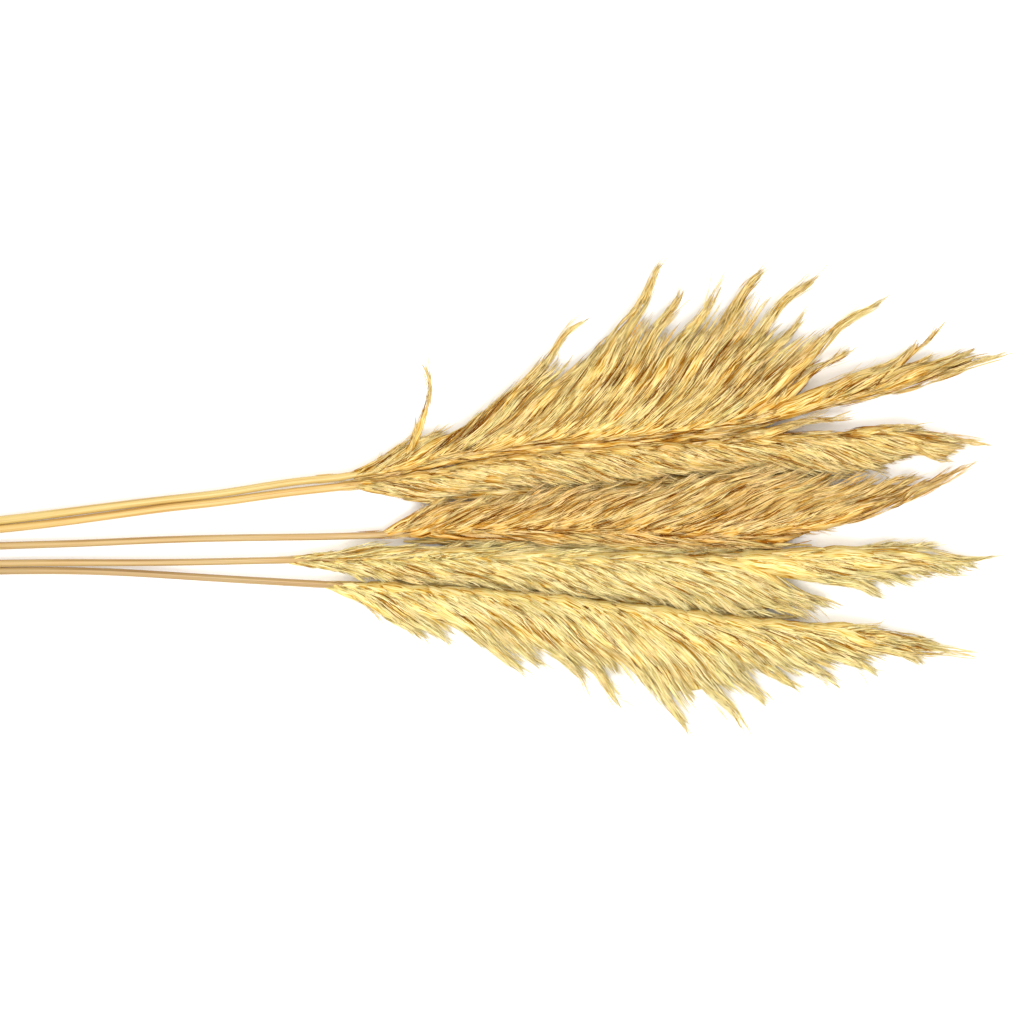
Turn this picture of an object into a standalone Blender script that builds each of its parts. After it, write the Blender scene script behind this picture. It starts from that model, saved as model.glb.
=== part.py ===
"""A bunch of five dried pampas grass stems, lying flat, as solids.

Each stem is a tapered tube that ends under its plume. Each plume is one solid: a stalk that carries
on from the stem, with the locks that grow from it fused to it and the underside pressed flat where
it lies. Lengths in the tables are millimetres: x from the cut ends towards the tips, y across the
bunch from its middle stem, z up from the surface. All pieces hang on one empty, which sets the
middle of the bunch's box over the origin.
"""

import bisect
import math

import bmesh
import bpy
from mathutils import Vector

MM = 0.001
GAP = 0.3  # clearance between a stem's end and the stalk that carries on from it

STEM_SIDES_RESOLUTION = 2  # eight sides
LOCK_SIDES_RESOLUTION = 1  # six sides
STEM_STEPS = 12
STALK_STEPS = 11
THINNEST = 0.3  # the least radius a stalk is drawn with
WELD = 0.00001  # metres within which a cap's points meet its tube's
CREASE = 50  # degrees past which an edge stays sharp

# The block that takes away what would lie below the surface.
BLOCK_LENGTH = 2400
BLOCK_WIDTH = 1200
BLOCK_DEPTH = 60

# How a lock's thickness runs from its root to its tip, and where the values lie along it.
LOCK_SHAPE = ((0.0, 0.36), (0.22, 0.92), (0.5, 1.0), (0.78, 0.58), (1.0, 0.04))
LOCK_BEND_AT = 0.4  # the share of a lock's chord at which it bends most

# Every stem: its route from the cut end to the plume (x, y), and its radius at either end.
STEMS = {
    "stem_1": {
        "route": ((5, -1.1), (120, 3.3), (234, 12.8), (338, 26), (376, 30.4), (422, 37.3), (454, 40.5)),
        "radii": (3.05, 2.4),
    },
    "stem_2": {
        "route": ((0, -7.1), (120, -2.7), (234, 7), (338, 20), (376, 24.4), (422, 31), (458, 35.2)),
        "radii": (2.7, 2.5),
    },
    "stem_3": {
        "route": ((10, -12.9), (120, -9.4), (234, -3.9), (286, -1.9), (338, 0), (440, 2.2), (478, 3.4)),
        "radii": (2.6, 2.1),
    },
    "stem_4": {
        "route": ((3, -18.4), (120, -16.9), (234, -15.3), (338, -14.4), (416, -13.4)),
        "radii": (2.5, 2.15),
    },
    "stem_5": {
        "route": ((8, -23.7), (120, -22.2), (234, -20.7), (286, -20.8), (338, -22.5), (440, -28.9)),
        "radii": (2.3, 2.3),
    },
}
PLUME_HEIGHT = 10  # the middle line of a stem where its plume starts

# Every plume: its stalk (x, y, z, radius), how tall a lock is for its breadth, how high its locks
# are drawn up between root and tip, and the locks. A lock is the x at which it leaves the stalk, its
# tip (x, y, z), half its breadth and its bow, the share of its length that it swings forward.
PLUMES = {
    "plume_1": {
        "stalk": (
            (454, 40.5, 10, 2.4), (494, 47.5, 12, 3.4), (540, 58, 15, 4.2), (585, 65, 17, 4.4),
            (650, 69, 17, 4.4), (715, 77, 16, 4.6), (780, 92, 14, 5.0), (820, 101.5, 12, 5.8),
            (845, 109.5, 11, 6.2), (860, 114, 10, 5.4), (874, 118, 10, 3.4), (892, 122, 9, 0.3),
        ),
        "tallness": 1.8,
        "crest": 19,
        "locks": (
            (458, 500, 67, 8, 6, 0.10),
            (484, 513, 118, 24, 4, 0.24),
            (488, 553, 90, 10, 8, 0.03),
            (520, 616, 147, 12, 6, 0.03),
            (545, 634, 131, 9, 10, 0.02),
            (568, 669, 186, 14, 10, 0.06),
            (596, 679, 166, 8, 10, 0.10),
            (612, 707, 170, 12, 10, 0.06),
            (632, 738, 185, 10, 10, 0.02),
            (652, 770, 179, 15, 9, 0.00),
            (668, 762, 148, 9, 9, 0.02),
            (690, 816, 162, 13, 8, -0.03),
            (712, 793, 127, 8, 9, 0.00),
            (732, 826, 124, 9, 7, -0.03),
            (772, 850, 144, 14, 5, 0.06),
            (792, 863, 125, 10, 6, 0.02),
        ),
    },
    "plume_2": {
        "stalk": (
            (458, 35.2, 10, 2.5), (507, 41, 12, 3.6), (559, 51, 14, 4.2), (598, 55.5, 15, 4.2),
            (676, 60, 15, 4.2), (741, 65, 14, 4.4), (780, 67.5, 13, 4.4), (819, 67.5, 11, 4.6),
            (850, 65.5, 9, 3.4), (880, 62, 8, 0.3),
        ),
        "tallness": 2.0,
        "crest": 16,
        "locks": (
            (462, 530, 27, 3, 5, -0.02),
            (494, 560, 33, 3, 7, 0.03),
            (526, 598, 36, 3, 8, 0.04),
            (558, 631, 37, 3, 8, 0.04),
            (592, 663, 39, 3, 8, 0.04),
            (624, 699, 41, 3, 8, 0.04),
            (656, 728, 42, 3, 8, 0.04),
            (684, 758, 43, 3, 8, 0.04),
            (712, 793, 42, 3, 8, 0.04),
            (744, 819, 40, 3, 7, 0.04),
            (778, 850, 49, 4, 7, 0.03),
            (800, 861, 55, 6, 5, 0.02),
            (690, 788, 84, 12, 5, 0.05),
            (780, 838, 73, 9, 5, 0.00),
        ),
    },
    "plume_3": {
        "stalk": (
            (478, 3.4, 10, 2.1), (520, 6.4, 12, 3.8), (598, 7.5, 15, 4.4), (650, 5.5, 15, 4.4),
            (700, 4, 15, 4.6), (754, 9, 14, 4.6), (793, 17, 12, 4.6), (826, 30, 11, 4.2),
            (848, 40, 10, 3.2), (868, 51, 10, 0.3),
        ),
        "tallness": 2.0,
        "crest": 11,
        "locks": (
            (482, 528, 26, 14, 5, 0.00),
            (496, 559, 30, 16, 8, 0.00),
            (522, 591, 33, 18, 8, 0.00),
            (548, 624, 36, 18, 8, 0.00),
            (574, 657, 38, 18, 8, 0.01),
            (598, 692, 42, 22, 8, 0.02),
            (624, 737, 51, 31, 8, 0.02),
            (648, 754, 48, 25, 8, 0.02),
            (668, 776, 45, 16, 8, 0.02),
            (690, 799, 43, 16, 8, 0.02),
            (714, 827, 42, 15, 8, 0.03),
            (744, 848, 40, 13, 7, 0.04),
            (690, 786, 9, 5, 5, 0.10),
            (500, 580, 2, 8, 4.5, 0.00),
            (560, 645, 0, 8, 5, 0.00),
            (610, 700, -4.5, 8, 5, 0.00),
            (660, 748, -2, 8, 5, 0.00),
        ),
    },
    "plume_4": {
        "stalk": (
            (416, -13.4, 10, 2.15), (461, -13, 12, 3.4), (520, -12, 14, 4.2), (598, -12.5, 15, 4.4),
            (650, -13.5, 15, 4.4), (702, -13, 15, 4.6), (754, -11, 14, 4.8), (806, -9.5, 12, 5.4),
            (832, -10.5, 11, 6.8), (848, -13, 10, 6), (862, -14, 10, 4), (883, -11, 9, 0.3),
        ),
        "tallness": 2.0,
        "crest": 16,
        "locks": (
            (424, 490, -4, 8, 4, 0.02),
            (458, 540, -4.5, 9, 5.5, 0.02),
            (500, 590, -5, 9, 6, 0.02),
            (552, 640, -7.5, 9, 5.5, 0.02),
            (700, 824, -3, 9, 6, 0.02),
            (430, 475, -24, 9, 4, 0.02),
            (462, 514, -27, 12, 6, 0.03),
            (500, 560, -29.5, 12, 7, 0.03),
            (540, 600, -32.5, 12, 8, 0.04),
            (578, 638, -37.5, 12, 8, 0.04),
            (616, 682, -44, 12, 9, 0.05),
            (646, 722, -48, 12, 9, 0.05),
            (670, 760, -51, 10, 9, 0.05),
            (692, 790, -48, 6, 9, 0.05),
            (720, 812, -38, 6, 8, 0.05),
            (756, 862, -22, 7, 7, 0.04),
        ),
    },
    "plume_5": {
        "stalk": (
            (440, -28.9, 10, 2.3), (494, -32, 12, 3.4), (540, -34.5, 15, 4.0), (585, -38, 16, 4.2),
            (650, -46, 16, 4.2), (702, -53, 16, 4.4), (754, -57.5, 14, 4.8), (793, -62.5, 12, 5.6),
            (819, -67, 11, 6.6), (834, -69.5, 10, 6.0), (848, -72, 9, 2.8), (870, -75.5, 8, 0.3),
        ),
        "tallness": 1.8,
        "crest": 18,
        "locks": (
            (444, 484, -49, 5, 4, 0.03),
            (452, 514, -66, 6, 5, 0.04),
            (468, 526, -69, 8, 8, 0.05),
            (490, 556, -72, 5, 9, 0.05),
            (510, 580, -94, 6, 10, 0.05),
            (530, 590, -86, 9, 10, 0.05),
            (550, 619, -98, 5, 11, 0.05),
            (572, 642, -112, 7, 11, 0.05),
            (600, 664, -103, 9, 11, 0.05),
            (616, 685, -132, 6, 11, 0.06),
            (642, 722, -129, 8, 11, 0.06),
            (664, 735, -109, 6, 12, 0.05),
            (686, 752, -98, 5, 11, 0.04),
            (710, 776, -94, 6, 10, 0.04),
            (736, 804, -87, 5, 9, 0.04),
            (766, 836, -79, 6, 7, 0.03),
            (756, 812, -58, 9, 5, 0.04),
        ),
    },
}


def clear_scene():
    for thing in list(bpy.data.objects):
        bpy.data.objects.remove(thing, do_unlink=True)


def collection(name):
    made = bpy.data.collections.new(name)
    bpy.context.scene.collection.children.link(made)
    return made


def straw(name, colour, roughness):
    """A dull dry straw material."""
    material = bpy.data.materials.new(name)
    material.use_nodes = True
    shader = material.node_tree.nodes["Principled BSDF"]
    shader.inputs["Base Color"].default_value = (*colour, 1)
    shader.inputs["Roughness"].default_value = roughness
    shader.inputs["Metallic"].default_value = 0
    return material


def smooth_through(points, x):
    """The row of values at x on a smooth line through points, whose first value rises."""
    places = [p[0] for p in points]
    i = min(max(bisect.bisect_right(places, x) - 1, 0), len(points) - 2)
    before = points[max(i - 1, 0)]
    here = points[i]
    after = points[i + 1]
    beyond = points[min(i + 2, len(points) - 1)]
    span = after[0] - here[0]
    t = (x - here[0]) / span
    row = [x]
    for k in range(1, len(here)):
        leave = (after[k] - before[k]) / (after[0] - before[0]) * span
        arrive = (beyond[k] - here[k]) / (beyond[0] - here[0]) * span
        row.append(
            (2 * t**3 - 3 * t**2 + 1) * here[k]
            + (t**3 - 2 * t**2 + t) * leave
            + (3 * t**2 - 2 * t**3) * after[k]
            + (t**3 - t**2) * arrive
        )
    return row


def tube(name, points, radii, resolution, tallness=1.0):
    """A closed mesh tube through points (mm), with a radius at each and flattened by tallness."""
    curve = bpy.data.curves.new(name, "CURVE")
    curve.dimensions = "3D"
    curve.fill_mode = "FULL"
    curve.bevel_depth = MM
    curve.bevel_resolution = resolution
    curve.use_fill_caps = True
    spline = curve.splines.new("POLY")
    spline.points.add(len(points) - 1)
    for knot, (x, y, z), radius in zip(spline.points, points, radii):
        knot.co = (x * MM, y * MM, z * MM / tallness, 1)
        knot.radius = radius
    guide = bpy.data.objects.new(name, curve)
    guide.scale.z = tallness
    bpy.context.scene.collection.objects.link(guide)
    bpy.context.view_layer.update()
    evaluated = guide.evaluated_get(bpy.context.evaluated_depsgraph_get())
    mesh = bpy.data.meshes.new_from_object(evaluated)
    mesh.transform(guide.matrix_world)
    bpy.data.objects.remove(guide)
    bpy.data.curves.remove(curve)
    shape = bmesh.new()
    shape.from_mesh(mesh)
    bmesh.ops.remove_doubles(shape, verts=shape.verts, dist=WELD)
    bmesh.ops.recalc_face_normals(shape, faces=shape.faces)
    shape.to_mesh(mesh)
    shape.free()
    mesh.name = name
    return mesh


def add_object(name, mesh, material, group):
    made = bpy.data.objects.new(name, mesh)
    group.objects.link(made)
    mesh.materials.clear()
    if material:
        mesh.materials.append(material)
    return made


def stem_height(share, radius):
    """The middle line's height: the cut end lies down and the plume lifts the other end."""
    return radius + (PLUME_HEIGHT - radius) * share


def build_stem(name, material, group):
    plan = STEMS[name]
    route = plan["route"]
    start = route[0][0]
    end = route[-1][0] - GAP
    thick, thin = plan["radii"]
    points = []
    radii = []
    for i in range(STEM_STEPS + 1):
        share = i / STEM_STEPS
        x, y = smooth_through(route, start + (end - start) * share)
        points.append((x, y, stem_height(share, thick)))
        radii.append(thick + (thin - thick) * share)
    return add_object(name, tube(name, points, radii, STEM_SIDES_RESOLUTION), material, group)


def lock_points(stalk, root_x, tip, bow, crest):
    """Points of one lock, which leaves the stalk forwards and then swings out to its tip."""
    root = Vector(smooth_through(stalk, root_x)[:3])
    chord = tip - root
    forward = Vector((-chord.y, chord.x, 0)).normalized()
    if forward.x < 0:
        forward = -forward
    bend = root + chord * LOCK_BEND_AT + forward * bow * chord.length
    bend.z = crest
    return [root * (1 - t) ** 2 + bend * 2 * t * (1 - t) + tip * t**2 for t, _ in LOCK_SHAPE]


def stalk_mesh(name, plan):
    stalk = plan["stalk"]
    start = stalk[0][0]
    run = stalk[-1][0] - start
    rows = [smooth_through(stalk, start + run * i / STALK_STEPS) for i in range(STALK_STEPS + 1)]
    points = [row[:3] for row in rows]
    radii = [max(row[3], THINNEST) for row in rows]
    return tube(name, points, radii, STEM_SIDES_RESOLUTION, plan["tallness"])


def lock_mesh(name, plan, lock):
    root_x, x, y, z, half_breadth, bow = lock
    points = lock_points(plan["stalk"], root_x, Vector((x, y, z)), bow, plan["crest"])
    radii = [half_breadth * size for _, size in LOCK_SHAPE]
    return tube(name, points, radii, LOCK_SIDES_RESOLUTION, plan["tallness"])


def boolean(target, operation, cutters):
    """Gives the target the mesh left by one exact Boolean with a collection of closed meshes."""
    step = target.modifiers.new(operation, "BOOLEAN")
    step.operation = operation
    step.solver = "EXACT"
    step.operand_type = "COLLECTION"
    step.collection = cutters
    bpy.context.view_layer.update()
    evaluated = target.evaluated_get(bpy.context.evaluated_depsgraph_get())
    mesh = bpy.data.meshes.new_from_object(evaluated)
    target.modifiers.clear()
    old = target.data
    target.data = mesh
    bpy.data.meshes.remove(old)


def build_plume(name, material, group, helpers, below):
    """The stalk with its locks fused to it, and the underside pressed flat on the surface."""
    plan = PLUMES[name]
    plume = add_object(name, stalk_mesh(name, plan), material, group)
    for lock in plan["locks"]:
        add_object(name + "_lock", lock_mesh(name + "_lock", plan, lock), None, helpers)
    boolean(plume, "UNION", helpers)
    for helper in list(helpers.objects):
        bpy.data.objects.remove(helper, do_unlink=True)
    boolean(plume, "DIFFERENCE", below)
    plume.data.name = name
    return plume


def surface_block(group):
    """The cutter under the bunch, with its top face at the height of the surface."""
    bpy.ops.mesh.primitive_cube_add(size=1)
    block = bpy.context.object
    block.name = "surface_block"
    block.scale = (BLOCK_LENGTH * MM, BLOCK_WIDTH * MM, BLOCK_DEPTH * MM)
    block.location.z = -BLOCK_DEPTH * MM / 2
    block.hide_render = True
    block.display_type = "WIRE"
    for home in list(block.users_collection):
        home.objects.unlink(block)
    group.objects.link(block)


def shade(thing):
    thing.data.shade_smooth()
    thing.data.set_sharp_from_angle(angle=math.radians(CREASE))


def hang_centred(pieces, group):
    """Hangs the pieces on an empty that brings the middle of their box over the origin."""
    corners = [v.co for piece in pieces for v in piece.data.vertices]
    middle = bpy.data.objects.new("bunch_middle", None)
    group.objects.link(middle)
    for axis in (0, 1):
        low = min(c[axis] for c in corners)
        high = max(c[axis] for c in corners)
        middle.location[axis] = -(low + high) / 2
    for piece in pieces:
        piece.parent = middle


def main():
    clear_scene()
    bunch = collection("pampas_grass_bunch")
    helpers = collection("locks_to_fuse")
    below = collection("cutters")
    surface_block(below)
    stem_straw = straw("stem_straw", (0.72, 0.50, 0.20), 0.5)
    plume_straw = straw("plume_straw", (0.80, 0.58, 0.24), 0.8)
    pieces = [build_stem(name, stem_straw, bunch) for name in STEMS]
    pieces += [build_plume(name, plume_straw, bunch, helpers, below) for name in PLUMES]
    for piece in pieces:
        shade(piece)
    hang_centred(pieces, bunch)
    bpy.data.collections.remove(helpers)


main()
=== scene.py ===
"""The looks of a bunch of dried pampas grass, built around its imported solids.

Each plume is one mesh of closed, tapered fibres, laid along its solid's stalk, nearly the same
locks and a few more, over a core of every lock and a mat that joins neighbouring locks. Each stem
is a fine, ribbed tube. Lengths in the tables are millimetres in the tables' own frame: x from the
cut ends towards the tips, y across the bunch from its middle stem, z up from the surface.
"""
import math

import bmesh
import bpy
import numpy as np
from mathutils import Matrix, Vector


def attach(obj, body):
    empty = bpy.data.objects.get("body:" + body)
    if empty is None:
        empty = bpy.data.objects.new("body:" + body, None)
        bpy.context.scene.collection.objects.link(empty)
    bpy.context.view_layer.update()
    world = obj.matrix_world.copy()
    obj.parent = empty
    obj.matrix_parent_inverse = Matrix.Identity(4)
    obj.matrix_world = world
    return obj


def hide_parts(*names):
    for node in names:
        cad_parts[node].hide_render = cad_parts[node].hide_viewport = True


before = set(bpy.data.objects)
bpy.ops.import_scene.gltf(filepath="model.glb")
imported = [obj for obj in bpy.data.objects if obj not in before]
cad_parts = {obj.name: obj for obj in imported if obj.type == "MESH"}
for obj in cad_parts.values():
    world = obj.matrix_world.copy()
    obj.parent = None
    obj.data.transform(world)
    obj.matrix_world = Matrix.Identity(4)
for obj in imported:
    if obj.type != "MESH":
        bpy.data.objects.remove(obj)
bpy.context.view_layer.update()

MM = 0.001
MIDDLE = np.array((445.9923, 26.9949, 0.0))  # what the frame's origin is in the tables' frame
PLUME_SEED = 20
STEM_SEED = 70
SURFACE = 0.35  # the lowest that a fibre's underside lies
FLOOR_HALF = 4.0  # metres from the middle of the floor to its sides

# The photograph's frame: how many millimetres a pixel is, and which point is in its middle.
PHOTO_PIXELS = 1024
PIXEL = 0.65
PHOTO_MIDDLE = (566.8, 18.2)
CAMERA_HEIGHT = 2000
FOCUS_HEIGHT = 12  # millimetres above the surface at which a photo pixel is PIXEL wide

# How a lock's half breadth runs along it, as shares of its length and of its greatest breadth.
LOCK_SHAPE = (
    (0.0, 0.2), (0.2, 0.9), (0.44, 0.96), (0.6, 0.66), (0.74, 0.38), (0.87, 0.15), (1.0, 0.03),
)

# Every stem: its route from cut end to plume (x, y), its radius at either end and its straw.
STEMS = {
    "stem_1": (
        ((5, -1.1), (120, 3.3), (234, 12.8), (338, 26), (376, 30.4), (422, 37.3), (454, 40.5)),
        (3.05, 2.4), "pale",
    ),
    "stem_2": (
        ((0, -7.05), (120, -2.45), (234, 7.25), (338, 20.3), (376, 24.4), (422, 31), (458, 35.2)),
        (2.7, 2.5), "golden",
    ),
    "stem_3": (
        ((10, -12.9), (120, -9.4), (234, -3.9), (286, -1.9), (338, 0), (440, 2.2), (478, 3.4)),
        (2.6, 2.1), "tan",
    ),
    "stem_4": (
        ((3, -18.5), (120, -17.05), (234, -15.45), (338, -14.4), (416, -13.4)),
        (2.5, 2.15), "tan",
    ),
    "stem_5": (
        ((8, -23.45), (120, -21.85), (234, -20.2), (286, -20.5), (338, -22.5), (440, -28.9)),
        (2.3, 2.3), "brown",
    ),
}
PLUME_HEIGHT = 10  # the middle line of a stem where its plume starts

# The plumes' hair from darkest to lightest, where it is pale and where it is tan.
HAIR_STOPS = (0.0, 0.2, 0.42, 0.62, 0.82, 1.0)
PALE_HAIR = ("#4A2602", "#84500C", "#C29638", "#DACB80", "#E4D898", "#EEE2AE")
TAN_HAIR = ("#4A2402", "#82480A", "#C48A2E", "#DAB46A", "#E4C080", "#EECC92")

# The stems' straw from darkest to lightest.
STRAW_STOPS = (0.25, 0.45, 0.6, 0.8)
STRAW = {
    "pale": ("#967D43", "#BDA360", "#CDB775", "#D8C68C"),
    "golden": ("#96733E", "#C09D5A", "#CFB16E", "#D9C188"),
    "tan": ("#866C40", "#AC8F5A", "#BBA06E", "#C8B384"),
    "brown": ("#78603A", "#9D8152", "#AC9060", "#B9A276"),
}

# Every plume: its stalk (x, y, z, radius) and its locks. A lock is the x at which it leaves the
# stalk, its tip (x, y, z), half its breadth and its bow, the share of its length that it swings
# forward.
PLUMES = {
    "plume_1": {
        "stalk": (
            (454, 40.5, 10, 2.4), (494, 47.5, 12, 3.4), (540, 58, 15, 4.2), (585, 65, 17, 4.4),
            (650, 69, 17, 4.4), (715, 77, 16, 4.6), (780, 92, 14, 5.0), (820, 101.5, 12, 5.8),
            (845, 109.5, 11, 6.2), (860, 114, 10, 5.4), (874, 118, 10, 3.4), (892, 122, 9, 0.3),
        ),
        "locks": (
            (455, 484, 54, 9, 1.8, 0.02), (458, 504, 67, 8, 4, 0.06), (472, 526, 77, 9, 5, 0.04),
            (484, 513, 118, 24, 3.2, 0.24), (488, 554, 87, 10, 6.5, 0.03),
            (520, 616, 147, 12, 6, -0.04), (545, 634, 131, 9, 10, -0.05),
            (568, 669, 186, 14, 10, 0.04), (596, 679, 166, 8, 10, 0.03),
            (612, 707, 170, 12, 10, -0.01), (632, 738, 185, 10, 10, -0.05),
            (652, 770, 179, 15, 7.5, -0.09), (668, 762, 148, 9, 7.5, -0.07),
            (690, 816, 162, 13, 6.5, -0.13), (706, 773, 118, 8, 2.6, -0.12),
            (712, 793, 127, 8, 4.6, -0.11), (730, 812, 117, 8, 8, -0.02),
            (744, 832, 125, 9, 7, -0.04), (764, 846, 122, 9, 5.5, -0.07),
            (784, 851, 145, 14, 3.4, 0.01), (796, 872, 125, 9, 5.4, -0.07),
        ),
    },
    "plume_2": {
        "stalk": (
            (458, 35.2, 10, 2.5), (507, 41, 12, 3.6), (559, 51, 14, 4.2), (598, 55.5, 15, 4.2),
            (676, 60, 15, 4.2), (741, 65, 14, 4.4), (780, 67.5, 13, 4.4), (819, 67.5, 11, 4.6),
            (850, 65.5, 9, 3.4), (880, 62, 8, 0.3),
        ),
        "locks": (
            (459, 496, 30, 8, 2.2, 0.02), (462, 531, 26, 10, 5.5, -0.02),
            (494, 560, 32, 11, 7, 0.03), (526, 598, 35, 11, 8, 0.04), (558, 631, 36, 11, 8, 0.04),
            (592, 663, 38, 11, 8, 0.04), (624, 699, 40, 11, 8, 0.04), (656, 728, 41, 11, 8, 0.04),
            (684, 758, 42, 11, 8, 0.04), (712, 793, 43, 9, 8, 0.04), (744, 814, 45, 7, 6, 0.04),
            (778, 846, 56, 7, 6.5, 0.03), (800, 866, 59, 7, 5.5, 0.02), (808, 854, 51, 7, 5, 0.02),
            (690, 788, 84, 12, 5, 0.05), (780, 838, 73, 9, 5, 0.00),
        ),
    },
    "plume_3": {
        "stalk": (
            (478, 3.4, 10, 2.1), (520, 6.4, 12, 3.8), (598, 7.5, 15, 4.4), (650, 5.5, 15, 4.4),
            (700, 4, 15, 4.6), (754, 9, 14, 4.6), (793, 17, 12, 4.6), (826, 30, 11, 4.2),
            (848, 40, 10, 3.2), (868, 51, 10, 0.3),
        ),
        "locks": (
            (479, 506, 16, 9, 2.2, 0.02), (481, 526, 27, 13, 5.0, 0.00),
            (496, 559, 30, 16, 8, 0.00), (522, 591, 33, 18, 8, 0.00), (548, 624, 36, 18, 8, 0.00),
            (574, 657, 38, 18, 8, 0.01), (598, 692, 42, 22, 8, 0.02), (624, 737, 51, 31, 8, 0.02),
            (648, 754, 48, 25, 8, 0.02), (668, 776, 45, 16, 8, 0.02), (690, 799, 43, 16, 8, 0.02),
            (714, 827, 42, 15, 8, 0.03), (744, 848, 40, 13, 7, 0.04), (690, 784, 11, 5, 3.8, 0.10),
            (500, 580, -1, 13, 4.5, 0.00), (556, 642, -3, 13, 5, 0.00),
            (610, 700, -7.5, 13, 5, 0.00), (660, 748, -4, 11, 5, 0.00),
        ),
    },
    "plume_4": {
        "stalk": (
            (416, -13.4, 10, 2.15), (461, -13, 12, 3.4), (520, -12, 14, 4.2), (598, -12.5, 15, 4.4),
            (650, -13.5, 15, 4.4), (702, -13, 15, 4.6), (754, -11, 14, 4.8), (806, -9.5, 12, 5.4),
            (832, -10.5, 11, 6.8), (848, -13, 10, 6), (862, -14, 10, 4), (883, -11, 9, 0.3),
        ),
        "locks": (
            (417, 452, -6.5, 10, 2.2, 0.02), (424, 490, -3, 11, 4, 0.02),
            (458, 540, -2.5, 13, 5.5, 0.02), (500, 590, -3, 14, 6, 0.02),
            (552, 640, -6, 14, 5.5, 0.02), (612, 700, -8, 13, 5.5, 0.02),
            (700, 824, -3, 9, 6, 0.02), (742, 852, -3, 9, 5, 0.02), (417, 452, -20, 9, 2.2, 0.02),
            (430, 477, -26, 11, 4, 0.02), (462, 518, -30, 16, 6, 0.03),
            (490, 565, -34, 18, 7, 0.06), (530, 606, -38.5, 19, 8, 0.07),
            (568, 645, -44, 19, 8, 0.07), (606, 688, -50, 19, 9, 0.08),
            (636, 727, -53.5, 17, 9, 0.08), (660, 762, -54, 13, 9, 0.08),
            (682, 780, -48, 6, 8, 0.08), (706, 812, -37, 6, 9.5, 0.08), (716, 806, -34, 6, 8, 0.08),
            (730, 834, -29, 6, 7, 0.06), (756, 862, -22, 7, 9, 0.04), (796, 876, -17, 8, 6, 0.02),
        ),
    },
    "plume_5": {
        "stalk": (
            (440, -28.9, 10, 2.3), (494, -32, 12, 3.4), (540, -34.5, 15, 4.0), (585, -38, 16, 4.2),
            (650, -46, 16, 4.2), (702, -53, 16, 4.4), (754, -57.5, 14, 4.8), (793, -62.5, 12, 5.6),
            (819, -67, 11, 6.6), (834, -69.5, 10, 6.0), (848, -72, 9, 2.8), (870, -75.5, 8, 0.3),
        ),
        "locks": (
            (441, 470, -40, 7, 2.2, 0.02), (446, 486, -50, 5, 4.6, 0.03),
            (452, 514, -68, 6, 6.5, 0.04), (468, 528, -70, 8, 8, 0.05), (474, 556, -72, 5, 9, 0.09),
            (494, 578, -90, 6, 9, 0.09), (514, 590, -86, 9, 9, 0.09), (534, 619, -98, 5, 9.5, 0.09),
            (556, 641, -110, 7, 9.5, 0.09), (584, 666, -105, 9, 11, 0.09),
            (600, 685, -130, 6, 10, 0.10), (626, 721, -127, 8, 10, 0.10),
            (648, 737, -112, 6, 12, 0.09), (670, 756, -101, 5, 11, 0.08),
            (694, 781, -97, 6, 10, 0.08), (720, 809, -91, 5, 9, 0.08),
            (750, 841, -83, 6, 7.5, 0.07), (756, 812, -58, 9, 5, 0.04),
            (784, 846, -68, 9, 4.6, 0.02),
        ),
    },
}

# How the hair of plume 1 to plume 5 lies and looks. Ends are shares of a lock's length.
HAIR = {
    "tallness": (1.8, 2.0, 2.0, 2.0, 1.8),  # how tall a lock is for its breadth
    "crest": (19, 16, 11, 16, 18),  # how high a lock is drawn up before its tip
    "more_bow": (0.05, -0.05, -0.03, 0.0, 0.03),  # what is added to the bow of each of its locks
    "tone": (0.03, 0.06, 0.02, 0.13, 0.12),  # how much lighter it is than BODY says
    "warmth": (0.44, 0.46, 0.7, 0.14, 0.18),  # how tan it is, from 0 to 1
    "clumps": (950, 880, 890, 760, 930),  # clumps of strands
    "cracks": (280, 120, 270, 150, 220),  # dark strands on its mats, painted shade as of the gaps between its hairs
    "lean": (-2.6, 2.2, -2.2, 2.4, 2.4),  # how far short hairs lean to the right, in millimetres
    "lesser_end": (0.7, 0.98, 0.98, 0.98, 0.78),  # where a lesser lock between two others ends
    "mat_end": (0.62, 0.86, 0.84, 0.82, 0.7),  # where a mat ends
    "hair_end": (0.86, 0.95, 0.94, 0.92, 0.88),  # and the hair on it
    "fringe_end": (0.84, 1.0, 1.0, 1.0, 0.98),  # and the fringe on it
    "mat_break": (700, 0, 0, 694, 0),  # the x along the stalk at which a mat is parted in two
    "strays": ((484, 706, 712, 784), (), (), (), ()),  # the x at which locks on their own start
}
for number, plume_plan in enumerate(PLUMES.values()):
    plume_plan.update({key: values[number] for key, values in HAIR.items()})

# Low hair that lies in the valleys between two plumes, darker as painted shade: points (x, y, z,
# half breadth).
VALLEYS = {
    "plume_2": (
        (
            (464, 39, 8, 1.6), (484, 42.4, 9, 2.6), (540, 54.4, 14, 3.6), (600, 60.2, 15, 4.6),
            (660, 64.4, 15, 4.8), (712, 70, 14, 4.8), (748, 79, 12, 0.8),
        ),
        (
            (518, 27.6, 6, 1.4), (552, 30, 8, 4.2), (623, 34, 8, 4.4), (690, 38.4, 8, 4.4),
            (741, 39, 8, 4.2), (802, 42.5, 8, 1.0),
        ),
    ),
    "plume_4": (
        (
            (496, -1, 4, 0.6), (520, -1, 6, 1.8), (545, -1, 8, 3.6), (585, -2, 8, 4.0),
            (640, -5, 9, 4.2), (695, -7.6, 9, 4.2), (738, -3.4, 9, 3.2), (773, -3.4, 8, 0.8),
        ),
        (
            (474, -28, 6, 1.2), (520, -28.8, 8, 3.2), (585, -33, 8, 4.0), (650, -40, 8, 4.4),
            (700, -46, 8, 4.4), (764, -51, 8, 1.0),
        ),
    ),
}

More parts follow.
